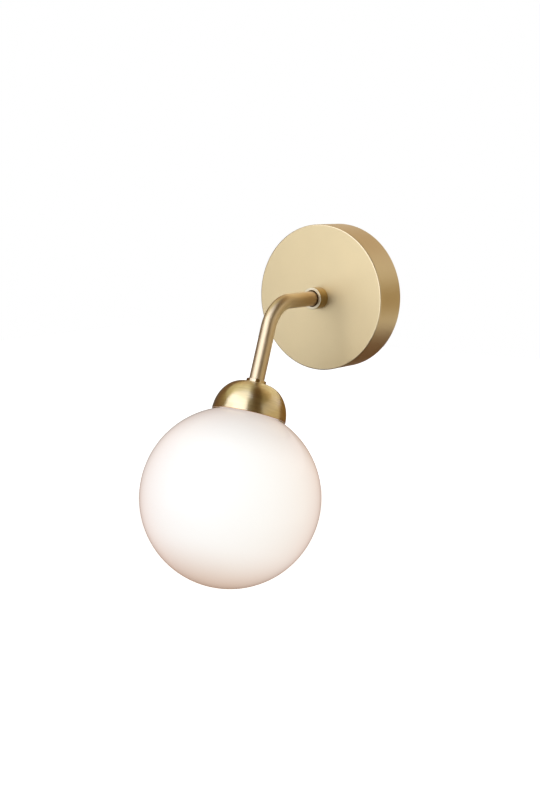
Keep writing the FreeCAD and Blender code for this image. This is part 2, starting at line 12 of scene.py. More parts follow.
import bmesh
import bpy
import numpy as np
from bpy.props import FloatProperty, FloatVectorProperty, IntProperty, PointerProperty
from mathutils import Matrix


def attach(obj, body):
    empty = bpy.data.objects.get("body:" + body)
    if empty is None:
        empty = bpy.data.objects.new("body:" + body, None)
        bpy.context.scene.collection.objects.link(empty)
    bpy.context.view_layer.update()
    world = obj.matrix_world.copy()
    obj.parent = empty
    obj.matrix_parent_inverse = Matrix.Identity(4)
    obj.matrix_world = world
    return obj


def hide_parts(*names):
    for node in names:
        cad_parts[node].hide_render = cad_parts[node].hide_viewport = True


bl_info = {
    "name": "Globe wall sconce",
    "version": (1, 0, 0),
    "blender": (4, 5, 0),
    "location": "3D View > Sidebar > Sconce",
    "description": "Round brass canopy, bent arm and domed cup that carries an opal glass globe",
    "category": "Object",
}

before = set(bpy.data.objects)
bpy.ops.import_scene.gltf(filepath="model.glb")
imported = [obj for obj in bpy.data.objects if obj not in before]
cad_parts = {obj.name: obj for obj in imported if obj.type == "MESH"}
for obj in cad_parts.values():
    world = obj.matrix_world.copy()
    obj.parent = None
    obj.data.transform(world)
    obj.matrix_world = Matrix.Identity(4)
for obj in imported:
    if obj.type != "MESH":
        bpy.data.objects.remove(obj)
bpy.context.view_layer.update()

MM = 0.001
ACROSS = np.array((1.0, 0.0, 0.0))
UP = np.array((0.0, 0.0, 1.0))
BLACK = (0.0, 0.0, 0.0)
MERGE_DISTANCE = 0.001 * MM
SMOOTH_LIMIT = radians(35.0)


# User settings

def length(name, description, default):
    """A length in metres, shown in the scene's unit."""
    return FloatProperty(name=name, description=description, default=default, min=0.0,
                         precision=5, subtype="DISTANCE", unit="LENGTH")


def colour(name, description, default):
    """A linear colour."""
    return FloatVectorProperty(name=name, description=description, default=default,
                               size=3, min=0.0, max=4.0, subtype="COLOR")


class SconceSizes(bpy.types.PropertyGroup):
    """Sizes of the pieces that are made here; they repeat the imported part's own."""

    canopy_diameter: length("Canopy diameter", "Outer diameter of the canopy", 0.120)
    canopy_depth: length("Canopy depth", "From the wall to the canopy's face", 0.030)
    canopy_wall: length("Canopy wall", "Thickness of the canopy's side", 0.0012)
    canopy_face: length("Canopy face", "Thickness of the canopy's face", 0.0015)
    canopy_edge: length("Canopy edge", "Radius of the canopy's front edge", 0.0009)
    rod_hole: length("Rod hole", "Radius of the holes that the threaded rods pass", 0.0051)
    screw_hole: length("Side screw hole", "Radius of the holes in the canopy's side", 0.00215)
    screw_setback: length("Side screw setback", "From the wall to the side screws", 0.008)
    collar_diameter: length("Collar diameter", "Outer diameter of the collar", 0.018)
    collar_height: length("Collar height", "How far the collar stands off the face", 0.0103)
    collar_bore: length("Collar bore", "Radius of the opening round the tube", 0.0067)
    collar_base: length("Collar base", "Thickness of the collar's floor", 0.0015)
    collar_edge: length("Collar edge", "Radius on the collar's rim", 0.00035)
    tube_diameter: length("Tube diameter", "Outer diameter of the arm", 0.012)
    tube_wall: length("Tube wall", "Wall thickness of the arm", 0.001)
    bend_radius: length("Bend radius", "Radius of the bend's centre line", 0.030)
    arm_reach: length("Arm reach", "From the wall to the arm's corner", 0.0925)
    lean: FloatProperty(name="Lean", description="Angle of the head's axis from vertical",
                        default=radians(21.0), subtype="ANGLE", unit="ROTATION")
    ring_top: length("Ring station", "Station of the neck ring's top", 0.0629)
    ring_height: length("Ring height", "Height of the neck ring", 0.0027)
    ring_diameter: length("Ring diameter", "Outer diameter of the neck ring", 0.0156)
    ring_edge: length("Ring edge", "Radius on the neck ring's edge", 0.0003)
    dome_diameter: length("Dome diameter", "Outer diameter at the dome's rim", 0.0584)
    dome_height: length("Dome height", "From the dome's crown to its rim", 0.026)
    dome_crown: length("Dome crown", "Diameter of the dome's flat crown", 0.017)
    dome_wall: length("Dome wall", "Wall thickness of the dome", 0.001)
    dome_rim_edge: length("Dome rim edge", "Radius on the dome's rim", 0.00035)
    globe_diameter: length("Globe diameter", "Outer diameter of the globe", 0.140)
    globe_wall: length("Globe wall", "Thickness of the glass", 0.0028)
    globe_station: length("Globe station", "Station of the globe's centre", 0.15637)
    neck_radius: length("Neck radius", "Outer radius of the globe's neck", 0.0224)
    neck_top: length("Neck station", "Station of the top of the globe's neck", 0.0809)
    neck_fillet: length("Neck fillet", "Radius between neck and globe", 0.0015)
    segments: IntProperty(name="Segments", description="Segments round each turned piece",
                          default=240, min=48, max=720)


class SconceColours(bpy.types.PropertyGroup):
    """Colours of the finishes, in linear light."""

    canopy: colour("Canopy", "Satin brass of the canopy", (0.71, 0.60, 0.345))
    # The canopy edge's paler colour is a painted highlight; its smoother roughness is real wear.
    worn_edge_and_highlight: colour("Canopy edge", "Brass of the canopy's worn front edge", (0.72, 0.62, 0.40))
    arm: colour("Arm", "Satin brass of the arm past its bend", (0.70, 0.58, 0.36))
    arm_root: colour("Arm root", "Satin brass of the arm at the wall", (0.50, 0.285, 0.07))
    collar: colour("Collar", "Turned brass of the collar", (0.38, 0.25, 0.09))
    dome: colour("Dome", "Brushed brass of the dome", (0.79, 0.65, 0.315))
    # The dome lip's darker, redder colour is a painted warm reflection of the glowing globe.
    lip: colour("Dome lip", "Darker, redder lip of the dome", (0.52, 0.25, 0.08))
    screw: colour("Screws", "Brass of the small screws", (0.78, 0.62, 0.34))
    zinc: colour("Zinc plate", "Zinc-plated steel", (0.62, 0.64, 0.66))
    # The collar rim's pale colour is a painted highlight; its satin roughness is real.
    rim: colour("Satin rim", "Rim of the collar", (0.80, 0.74, 0.52))
    ring: colour("Neck ring", "Turned brass of the neck ring", (0.66, 0.56, 0.38))
    opal: colour("Opal glass", "Body colour of the glass under its glow", (0.15, 0.26, 0.33))
    skin: colour("Glass skin", "Tint of the glass's clear skin", (0.90, 0.78, 0.74))
    glow: colour("Glow", "Light that the lit glass gives off", (1.035, 1.14, 1.12))
    # The low glow is painted shade: the glass's glow made dimmer and warmer towards its lowest part.
    painted_shade_low_glow: colour("Low glow", "Light of the glass near its lowest part", (0.66, 0.50, 0.30))


class SconceStudio(bpy.types.PropertyGroup):
    """Camera and floor."""

    distance: length("Camera distance", "From the origin to the camera", 1.0613843)
    azimuth: FloatProperty(name="Azimuth", description="Camera's place round the sconce from -Y",
                           default=0.584889, subtype="ANGLE", unit="ROTATION")
    elevation: FloatProperty(name="Elevation", description="Camera's height angle",
                             default=0.0775856, subtype="ANGLE", unit="ROTATION")
    turn: FloatProperty(name="Turn", description="Aim to the left of the origin",
                        default=0.0550574, subtype="ANGLE", unit="ROTATION")
    dip: FloatProperty(name="Dip", description="Aim below the origin",
                       default=0.0875061, subtype="ANGLE", unit="ROTATION")
    lens: FloatProperty(name="Lens", description="Focal length on a 36 mm long side",
                        default=55.5556, unit="CAMERA")
    floor_drop: length("Floor", "How far the floor lies below the origin", 0.60)


# Curves and surfaces

def unit(vectors):
    """Each row divided by its length."""
    return vectors / np.linalg.norm(vectors, axis=-1, keepdims=True)


def rounded(corners, radii, steps=5, support=0.15 * MM):
    """Closed outline with an arc at each corner, as an array of corners x points x 2.

    The arc's centre is on the corner's bisector, radius / sin(half angle) from the corner.
    A point of the arc is centre + radius * (sin t * across - cos t * bisector), and one more
    point lies on each side of it so that the flat beside it shades flat.
    """
    corners = np.asarray(corners, float)
    radii = np.asarray(radii, float)[:, None]
    back = unit(np.roll(corners, 1, 0) - corners)
    ahead = unit(np.roll(corners, -1, 0) - corners)
    bisector = unit(back + ahead)
    across = unit(ahead - back)
    half = np.arccos(np.clip((back * ahead).sum(1), -1, 1))[:, None] / 2
    centre = corners + bisector * radii / np.sin(half)
    t = ((pi / 2 - half) * np.linspace(-1, 1, steps + 1))[:, :, None]
    arc = centre[:, None] + radii[:, None] * (np.sin(t) * across[:, None]
                                              - np.cos(t) * bisector[:, None])
    run = radii / np.tan(half) + support
    before = (corners + back * run)[:, None]
    after = (corners + ahead * run)[:, None]
    return np.concatenate([before, arc, after], 1)


def wall_axis(depths):
    """Points and upward directions on the canopy's axis, at depths out from the wall."""
    depths = np.asarray(depths, float)
    centres = np.stack([0 * depths, -depths, 0 * depths], 1)
    return centres, np.tile(UP, (len(depths), 1))


def head_axis(stations):
    """Points and cross directions on the head's axis, at stations down from the arm's corner."""
    sizes = bpy.context.scene.sconce_sizes
    stations = np.asarray(stations, float)
    down = np.array((0.0, -sin(sizes.lean), -cos(sizes.lean)))
    centres = np.array((0.0, -sizes.arm_reach, 0.0)) + stations[:, None] * down
    return centres, np.tile((0.0, -cos(sizes.lean), sin(sizes.lean)), (len(stations), 1))


def arm_lengths():
    """Level run, arc and leaned run of the arm's centre line."""
    sizes = bpy.context.scene.sconce_sizes
    turn = pi / 2 - sizes.lean
    tangent = sizes.bend_radius * tan(turn / 2)
    level = sizes.arm_reach - (sizes.canopy_depth + sizes.collar_base) - tangent
    leaned = sizes.ring_top + sizes.ring_height - tangent
    return level, sizes.bend_radius * turn, leaned


def arm_line(lengths):
    """Points and cross directions along the arm: a level run, an arc and a leaned run.

    With a the angle turned so far, the line heads (0, -cos a, -sin a) and the arc's points
    are start + bend radius * (sin a out, 1 - cos a down).
    """
    sizes = bpy.context.scene.sconce_sizes
    lengths = np.asarray(lengths, float)
    level, arc, _ = arm_lengths()
    turn = pi / 2 - sizes.lean
    start = sizes.canopy_depth + sizes.collar_base
    first = np.minimum(lengths, level)
    angle = np.clip((lengths - level) / sizes.bend_radius, 0, turn)
    last = np.maximum(lengths - level - arc, 0)
    out = start + first + sizes.bend_radius * np.sin(angle) + last * cos(turn)
    down = sizes.bend_radius * (1 - np.cos(angle)) + last * sin(turn)
    centres = np.stack([0 * out, -out, -down], 1)
    return centres, np.stack([0 * out, -np.sin(angle), np.cos(angle)], 1)


def surface_around(line, radii, stations, angles):
    """Grid of points: line(station) + radius * (cos angle * across + sin angle * up)."""
    centres, up = line(stations)
    radii = np.asarray(radii, float)[:, None, None]
    angles = angles[None, :, None]
    turned = np.cos(angles) * ACROSS + np.sin(angles) * up[:, None]
    return centres[:, None] + radii * turned


def round_angles(segments):
    """Evenly spaced angles of one full turn."""
    return np.linspace(0, 2 * pi, segments, endpoint=False)


def grid_faces(rows, columns, closed):
    """Quads between neighbouring points of a grid whose columns wrap, and whose rows do if closed."""
    index = np.arange(rows * columns).reshape(rows, columns)
    ahead = np.roll(index, -1, 0)
    if not closed:
        index, ahead = index[:-1], ahead[:-1]
    corners = [index, np.roll(index, -1, 1), np.roll(ahead, -1, 1), ahead]
    return np.stack(corners, -1).reshape(-1, 4)


def signed_volume(points, faces):
    """Volume inside a closed surface of quads, negative where its faces point inwards."""
    a, b, c, d = (points[faces[:, k]] for k in range(4))
    return ((a * np.cross(b, c)).sum() + (a * np.cross(c, d)).sum()) / 6


def make_piece(name, points, faces, body, finish, replaced):
    """Put a closed surface into a mesh object that rides on a body and stands for CAD nodes."""
    points = np.asarray(points, float).reshape(-1, 3)
    if signed_volume(points, faces) < 0:
        faces = faces[:, ::-1]
    mesh = bpy.data.meshes.new(name)
    mesh.from_pydata(points, [], faces)
    shape = bmesh.new()
    shape.from_mesh(mesh)
    bmesh.ops.remove_doubles(shape, verts=shape.verts, dist=MERGE_DISTANCE)
    shape.to_mesh(mesh)
    shape.free()
    mesh.shade_smooth()
    mesh.set_sharp_from_angle(angle=SMOOTH_LIMIT)
    mesh.materials.append(finish)
    piece = bpy.data.objects.new(name, mesh)
    bpy.context.scene.collection.objects.link(piece)
    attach(piece, body)
    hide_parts(*replaced)


def turned_piece(name, line, outline, closed, body, finish, replaced, segments=None):
    """A profile of (radius, station) points turned round a line."""
    segments = segments or bpy.context.scene.sconce_sizes.segments
    outline = np.asarray(outline, float).reshape(-1, 2)
    points = surface_around(line, outline[:, 0], outline[:, 1], round_angles(segments))
    faces = grid_faces(len(outline), segments, closed)
    make_piece(name, points, faces, body, finish, replaced)


# Shader maths

class Signal:
    """A shader socket that Python's operators work on: each adds a Math node."""

    def __init__(self, socket):
        self.socket = socket

    def math(self, operation, first, second=0.0):
        """The Math node of that operation on two numbers or signals."""
        return add_node(self.socket.id_data, "ShaderNodeMath", {"operation": operation},
                        {0: first, 1: second})

    def __add__(self, other):
        return self.math("ADD", self, other)

    __radd__ = __add__

    def __sub__(self, other):
        return self.math("SUBTRACT", self, other)

    def __rsub__(self, other):
        return self.math("SUBTRACT", other, self)

    def __mul__(self, other):
        return self.math("MULTIPLY", self, other)

    __rmul__ = __mul__

    def __truediv__(self, other):
        return self.math("DIVIDE", self, other)

    def root(self):
        """Square root."""
        return self.math("SQRT", self)


def add_node(tree, kind, settings=None, sockets=None, output=0):
    """Add a node: its settings are set first, then the values or links of its sockets."""
    node = tree.nodes.new(kind)
    for key, value in (settings or {}).items():
        setattr(node, key, value)
    for key, value in (sockets or {}).items():
        if isinstance(value, Signal):
            tree.links.new(value.socket, node.inputs[key])
        else:
            node.inputs[key].default_value = value
    return Signal(node.outputs[output])


class Finish:
    """One procedural material while its nodes are joined up.

    The constants are named after the shader's sockets, such as coat_ior for Coat IOR.
    """

    def __init__(self, name, **constants):
        self.material = bpy.data.materials.new(name)
        self.material.use_nodes = True
        self.tree = self.material.node_tree
        self.shader = self.tree.nodes["Principled BSDF"]
        for key, value in constants.items():
            socket = key.replace("_", " ").title().replace("Ior", "IOR")
            self.shader.inputs[socket].default_value = value

    def node(self, kind, settings=None, sockets=None, output=0):
        """Add any node to this finish."""
        return add_node(self.tree, kind, settings, sockets, output)

    def place(self, origin=(0, 0, 0), turn=(0, 0, 0)):
        """Object coordinates, centred on a point and then turned."""
        coordinates = self.node("ShaderNodeTexCoord", output="Object")
        moved = self.node("ShaderNodeVectorMath", {"operation": "SUBTRACT"},
                          {0: coordinates, 1: origin})
        return self.node("ShaderNodeMapping", None, {"Vector": moved, "Rotation": turn})

    def axes(self, vector):
        """X, Y and Z of a vector."""
        first = self.node("ShaderNodeSeparateXYZ", None, {0: vector})
        return [Signal(socket) for socket in first.socket.node.outputs]

    def noise(self, vector, scale, detail=2.0, roughness=0.5):
        """Smooth noise around 0.5; scale is in features per unit of the vector."""
        return self.node("ShaderNodeTexNoise", None, {"Vector": vector, "Scale": scale,
                                                      "Detail": detail, "Roughness": roughness})

    def mix(self, factor, first, second):
        """Mix of two colours."""
        return self.node("ShaderNodeMix", {"data_type": "RGBA"},
                         {0: factor, 6: opaque(first), 7: opaque(second)}, output=2)

    def step(self, value, start, end):
        """0 before start and 1 past end, smooth between them."""
        return self.node("ShaderNodeMapRange", {"interpolation_type": "SMOOTHSTEP"},
                         {0: value, 1: start, 2: end})

    def feed(self, socket, value):
        """Link a signal to one of the shader's own sockets."""
        self.tree.links.new(value.socket, self.shader.inputs[socket])

    def roughness(self, level, *noises):
        """Roughness around a level, moved by pairs of a noise around 0.5 and its spread."""
        for noise, spread in noises:
            level = level + (noise - 0.5) * spread
        self.feed("Roughness", level)

    def bump(self, height, distance):
        """Relief of that height signal, over a distance in metres."""
        self.feed("Normal", self.node("ShaderNodeBump", None, {"Height": height, "Distance": distance,
                                                               "Strength": 1.0}))


def opaque(value):
    """A colour with its fourth value, or the signal as it is."""
    return value if isinstance(value, Signal) else (*value[:3], 1.0)


def shade(colour_value, factor):
    """A colour made darker or lighter."""
    return tuple(min(1.0, c * factor) for c in colour_value[:3])


# Finishes

# How dark the marks of a fine grain are next to the finish's own colour, how much of them
# satin brass shows, and how far its tone and roughness drift
GRAIN_SHADE = 0.55
BRASS_GRAIN = 0.1
BRASS_DRIFT = 0.03


def grained(name, base, roughness, metallic=0.0, scale=900.0, contrast=0.06, relief=0.004 * MM,
            **constants):
    """Plain finish with fine grain and a slow mottling, in its colour and its roughness."""
    mottling = 0.05
    grains_across_patch = 24
    finish = Finish(name, metallic=metallic, **constants)
    place = finish.place()
    grain = finish.noise(place, scale, detail=3.0)
    slow = finish.noise(place, scale / grains_across_patch)
    tone = finish.mix(slow, shade(base, 1 - mottling), shade(base, 1 + mottling))
    finish.feed("Base Color", finish.mix(grain * 2 * contrast, tone, shade(base, GRAIN_SHADE)))
    finish.roughness(roughness, (grain, contrast), (slow, mottling))
    finish.bump(grain, relief)
    return finish.material


def head_place(finish):
    """Object coordinates turned so that the head's axis is Z, with the arm's corner at 0."""
    sizes = bpy.context.scene.sconce_sizes
    return finish.place((0, -sizes.arm_reach, 0), (sizes.lean, 0, 0))


def turned_lines(finish, place, fineness, drift):
    """Noise drawn out round the Z axis, as a lathe or a spinning brush leaves it.

    The noise reads (direction * drift, (radius - height) * fineness), and radius - height
    rises steadily all the way down a dome's outline.
    """
    x, y, height = finish.axes(place)
    radius = (x * x + y * y).root()
    off_axis = radius + 0.01 * MM
    vector = finish.node("ShaderNodeCombineXYZ", None, {0: x / off_axis * drift,
                                                        1: y / off_axis * drift,
                                                        2: (radius - height) * fineness})
    return finish.noise(vector, 1.0, detail=4.0, roughness=0.6)


def brushed_brass(name, base, lip, rim):
    """Dome: brushed lines round its axis, with reflections drawn out across them.

    The shader's own grain runs level round the vertical, so a small constant turn brings it
    onto the leaned axis for the side that faces the room. The narrow lip at the rim's station
    is painted a darker, redder colour, a painted reflection of the glowing globe.
    """
    finish = Finish(name, metallic=1.0, anisotropic=0.95, anisotropic_rotation=0.217,
                    coat_weight=1.0, coat_ior=2.2, coat_roughness=0.2)
    place = head_place(finish)
    dark_band, light_band, line_shade = 0.62, 1.30, 0.70
    glow_band_start, glow_band_full = rim - 0.6 * MM, rim - 0.3 * MM
    lines = turned_lines(finish, place, fineness=1500.0, drift=3.0)
    broad = turned_lines(finish, place, fineness=520.0, drift=1.6)
    tone = finish.mix(broad, shade(base, dark_band), shade(base, light_band))
    brushed = finish.mix(lines * 0.5, tone, shade(base, line_shade))
    station = -1.0 * finish.axes(place)[2]
    # Painted reflection: a warm band of the globe's glow on the dome's lip.
    glow_reflection_band = finish.step(station, glow_band_start, glow_band_full)
    finish.feed("Base Color", finish.mix(glow_reflection_band, brushed, lip))
    finish.roughness(0.34, (lines, 0.10), (broad, 0.20))
    finish.bump(lines, 0.02 * MM)
    return finish.material


def satin_brass(name, base, root, sizes):
    """Arm: satin brass under clear lacquer, an amber tone at the wall that pales past the bend."""
    finish = Finish(name, metallic=1.0, coat_weight=1.0, coat_ior=1.65, coat_roughness=0.38)
    place = finish.place()
    out = -1.0 * finish.axes(place)[1]
    collar_front = sizes.canopy_depth + sizes.collar_height
    past_bend = sizes.arm_reach + sizes.bend_radius / 4
    pale = finish.step(out, collar_front, past_bend)
    grain = finish.noise(place, 1800.0, detail=3.0)
    slow = finish.noise(place, 75.0)
    tone = finish.mix(slow * (2 * BRASS_DRIFT), finish.mix(pale, root, base), BLACK)
    speckled = finish.mix(grain * BRASS_GRAIN, tone, shade(base, GRAIN_SHADE))
    finish.feed("Base Color", speckled)
    finish.roughness(0.41, (grain, 0.05), (slow, BRASS_DRIFT))
    finish.bump(grain, 0.005 * MM)
    return finish.material


def turned_brass(name, base, roughness, rim=None, highlight_rim_start=0.0):
    """Bright turned brass with faint tool lines, and a satin rim further out than a given station,
    whose pale colour is a painted highlight.
    """
    finish = Finish(name, metallic=1.0)
    place = finish.place()
    closest_along_y = (200, 6000, 200)
    packed = finish.node("ShaderNodeMapping", None, {"Vector": place, "Scale": closest_along_y})
    marks = finish.noise(packed, 1.0)
    mark_shade = 0.7
    if rim:
        out = -1.0 * finish.axes(place)[1]
        # Painted highlight: past this station the rim takes a paler colour, along with a real satin
        # roughness.
        end = finish.step(out, highlight_rim_start, highlight_rim_start + 0.25 * MM)
        base = finish.mix(end, base, rim)
        roughness = roughness + end * 0.27
        worn = finish.mix(mark_shade, BLACK, base)
    else:
        worn = shade(base, mark_shade)
    finish.feed("Base Color", finish.mix(marks * 0.3, base, worn))
    finish.roughness(roughness, (marks, 0.08))
    finish.bump(marks, 0.002 * MM)
    return finish.material


def edged_brass(name, base, worn_edge_and_highlight, sizes):
    """Canopy: satin brass with fine grain, worn smoother along its front edge, where its paler colour
    is a painted highlight.
    """
    finish = Finish(name, metallic=1.0)
    place = finish.place()
    x, y, z = finish.axes(place)
    radius = (x * x + z * z).root()
    side = sizes.canopy_diameter / 2
    front = sizes.canopy_depth
    start, full = 1.2 * MM, 0.5 * MM
    edge = (finish.step(radius, side - start, side - full)
            * finish.step(-1.0 * y, front - start, front - full))
    grain = finish.noise(place, 1400.0, detail=3.0)
    slow = finish.noise(place, 58.0)
    tone = finish.mix(slow, shade(base, 1 - BRASS_DRIFT), shade(base, 1 + BRASS_DRIFT))
    speckled = finish.mix(grain * BRASS_GRAIN, tone, shade(base, GRAIN_SHADE))
    # Painted highlight: the front edge takes a paler colour, beside its real smoother wear in the
    # roughness.
    finish.feed("Base Color", finish.mix(edge, speckled, worn_edge_and_highlight))
    finish.roughness(0.46 - edge * 0.12, (grain, 0.05), (slow, BRASS_DRIFT))
    finish.bump(grain, 0.005 * MM)
    return finish.material


def zinc_plate(name, base):
    """Zinc plating: patches of slightly different grey, cloudy with a passivated sheen."""
    finish = Finish(name, metallic=1.0)
    place = finish.place()
    patches = finish.node("ShaderNodeTexVoronoi", None, {"Vector": place, "Scale": 420.0},
                          output="Color")
    level = finish.node("ShaderNodeSeparateColor", None, {0: patches})
    cloud = finish.noise(place, 90.0, detail=3.0)
    dull, bright, passivated = 0.86, 1.1, (0.70, 0.68, 0.55)
    tone = finish.mix(level * 0.5, shade(base, dull), shade(base, bright))
    finish.feed("Base Color", finish.mix(cloud * 0.25, tone, passivated))
    finish.roughness(0.34 + level * 0.08, (cloud, 0.16))
    finish.bump(level * 0.4 + cloud, 0.006 * MM)
    return finish.material


def opal_glass(name, base, skin, glow, painted_shade_low_glow):
    """Lit opal glass: a dim, cool body that glows, under a clear skin that tints its limb.

    Along the head's axis the glow is painted weaker and warmer towards the globe's lowest part, a
    painted shade, and a painted shadow of the cap darkens the crown, so it looks the same however
    far the globe is turned.
    """
    sizes = bpy.context.scene.sconce_sizes
    finish = Finish(name, ior=1.2, emission_strength=1.0, coat_weight=1.0, coat_ior=1.15,
                    coat_roughness=0.06, coat_tint=opaque(skin))
    place = head_place(finish)
    height = finish.axes(place)[2] + sizes.globe_station
    radius = sizes.globe_diameter / 2
    low_end, full_glow = -1.4 * radius, -0.5 * radius
    cap_start, cap_shade = 0.4 * radius, 0.25
    swirl = finish.noise(place, 16.0)
    uneven = height + (swirl - 0.5) * 6 * MM
    # Painted shade: the glow fades to the dimmer, warmer low glow towards the lowest part, and the
    # cap's painted shadow darkens the crown.
    lit = finish.mix(finish.step(uneven, low_end, full_glow), painted_shade_low_glow, glow)
    shaded = finish.step(height, cap_start, radius)
    finish.feed("Emission Color", finish.mix(shaded * cap_shade, lit, BLACK))
    finish.feed("Base Color", finish.mix(swirl, base, shade(base, 0.97)))
    finish.feed("Roughness", 0.30 + 0.06 * swirl)
    return finish.material


def wire_sheath(name, base):
    """Extruded insulation: smooth, slightly waxy, with faint scuffs."""
    return grained(name, base, 0.42, scale=1600.0, contrast=0.10, coat_weight=0.15)


def earth_sheath(name):
    """Green insulation with a yellow stripe down two sides."""
    green, yellow, dusty = (0.05, 0.26, 0.07), (0.80, 0.66, 0.06), (0.35, 0.38, 0.2)
    half_stripe = 0.42 * MM
    finish = Finish(name, roughness=0.42)
    place = finish.place()
    x = finish.axes(place)[0]
    stripe = x.math("LESS_THAN", x.math("ABSOLUTE", x), half_stripe)
    scuff = finish.noise(place, 900.0)
    striped = finish.mix(stripe, green, yellow)
    finish.feed("Base Color", finish.mix(scuff * 0.2, striped, dusty))
    finish.feed("Roughness", 0.38 + 0.12 * scuff)
    finish.bump(scuff, 0.004 * MM)
    return finish.material


def give(nodes, material):
    """Assign a finish to CAD nodes."""
    for name in nodes:
        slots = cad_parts[name].data.materials
        if not len(slots):
            slots.append(material)
        for k in range(len(slots)):
            slots[k] = material


# Operators, one for each piece or group of like pieces

class SCONCE_OT_canopy(bpy.types.Operator):
    """Turn the canopy, with its two side screw holes"""

    bl_idname = "sconce.canopy"
    bl_label = "Canopy"

    def execute(self, context):
        sizes = context.scene.sconce_sizes
        colours = context.scene.sconce_colours
        finish = edged_brass("canopy satin brass", colours.canopy, colours.worn_edge_and_highlight, sizes)
        points, faces = canopy_surface(sizes)
        make_piece("canopy_shell", points, faces, "fixture", finish, ["canopy"])
        return {"FINISHED"}


def canopy_surface(sizes, hole_steps=3, coarse=200):
    """Turned canopy: a closed outline of face, side and open back, with a hole through its side
    at top and bottom.

    Round each hole the grid is finer. With m the larger and h the straight distance of a grid
    point from the hole's centre, the point moves along its own line from the centre by the
    factor radius * m / (steps * cell) / h, which turns the square rings of the grid into
    circles; the move fades out towards twice the hole's size. Quads inside the hole's ring
    are left out, and quads through the wall join the outer ring to the inner one.
    """
    radius = sizes.canopy_diameter / 2
    inner = radius - sizes.canopy_wall
    depth = sizes.canopy_depth
    floor = depth - sizes.canopy_face
    cell = sizes.screw_hole / hole_steps
    zone = 2 * hole_steps
    corners = rounded([(sizes.rod_hole, floor), (sizes.rod_hole, depth), (radius, depth),
                       (radius, 0), (inner, 0), (inner, floor)],
                      [0.1 * MM, 0.1 * MM, sizes.canopy_edge, 0.2 * MM, 0.2 * MM, 0.4 * MM])
    rows = sizes.screw_setback + cell * np.arange(-zone, zone + 1)
    outer_rows = np.stack([np.full(len(rows), radius), rows[::-1]], 1)
    inner_rows = np.stack([np.full(len(rows), inner), rows], 1)
    outline = np.concatenate([corners[0], corners[1], corners[2], outer_rows,
                              corners[3], corners[4], inner_rows, corners[5]])
    outer_start = 3 * corners.shape[1]
    inner_start = outer_start + len(rows) + 2 * corners.shape[1]

    fine = cell / radius * np.arange(-zone, zone + 1)
    sweep = np.linspace(fine[-1], pi - fine[-1], coarse // 2)[1:-1]
    angles = np.concatenate([pi / 2 + fine, pi / 2 + sweep, 3 * pi / 2 + fine, 3 * pi / 2 + sweep])
    angle = np.tile(angles, (len(outline), 1))
    place = np.tile(outline[:, 1:], (1, len(angles)))
    skirt = np.zeros(len(outline), bool)
    skirt[outer_start:outer_start + len(rows)] = True
    skirt[inner_start:inner_start + len(rows)] = True
    ring = np.full(angle.shape, np.inf)
    for middle in (pi / 2, 3 * pi / 2):
        dx = (angle - middle) * radius
        dy = place - sizes.screw_setback
        largest = np.maximum(abs(dx), abs(dy)) / cell
        near = skirt[:, None] & (largest < zone + 0.5)
        fade = np.clip((zone - largest) / hole_steps, 0, 1)
        stretch = sizes.screw_hole * largest / hole_steps / np.maximum(np.hypot(dx, dy), 1e-9)
        factor = np.where(near, 1 + fade * (stretch - 1), 1)
        angle = middle + dx * factor / radius
        place = sizes.screw_setback + dy * factor
        ring = np.where(near, largest, ring)

    turned = np.cos(angle)[..., None] * ACROSS + np.sin(angle)[..., None] * UP
    points = outline[:, 0][:, None, None] * turned
    points[..., 1] = -place
    faces = grid_faces(len(outline), len(angles), True)
    in_hole = (ring.reshape(-1)[faces] < hole_steps + 0.5).all(1)
    faces = faces[~in_hole]

    step = np.arange(-hole_steps, hole_steps)
    side = np.full(2 * hole_steps, hole_steps)
    across = np.concatenate([step, side, -step, -side])
    along = np.concatenate([-side, step, side, -step])
    through = []
    for column in (zone, len(angles) // 2 + zone):
        outer_ring = (outer_start + zone - along) * len(angles) + column + across
        inner_ring = (inner_start + zone + along) * len(angles) + column + across
        through.append(np.stack([outer_ring, np.roll(outer_ring, -1),
                                 np.roll(inner_ring, -1), inner_ring], 1))
    return points.reshape(-1, 3), np.concatenate([faces, *through])


class SCONCE_OT_collar(bpy.types.Operator):
    """Turn the collar round the arm's root"""

    bl_idname = "sconce.collar"
    bl_label = "Collar"

    def execute(self, context):
        sizes = context.scene.sconce_sizes
        outer = sizes.collar_diameter / 2
        bore = sizes.collar_bore
        hole = sizes.rod_hole
        base = sizes.canopy_depth
        front = base + sizes.collar_height
        floor = base + sizes.collar_base
        edge = sizes.collar_edge
        outline = rounded([(hole, base), (outer, base), (outer, front),
                           (bore, front), (bore, floor), (hole, floor)],
                          [0.05 * MM, 0.1 * MM, edge, edge, 0.15 * MM, 0.05 * MM])
        colours = context.scene.sconce_colours
        finish = turned_brass("collar turned brass", colours.collar, 0.18, colours.rim, front - edge)
        turned_piece("collar_turned", wall_axis, outline, True, "fixture",
                     finish, ["arm_collar"], segments=160)
        return {"FINISHED"}


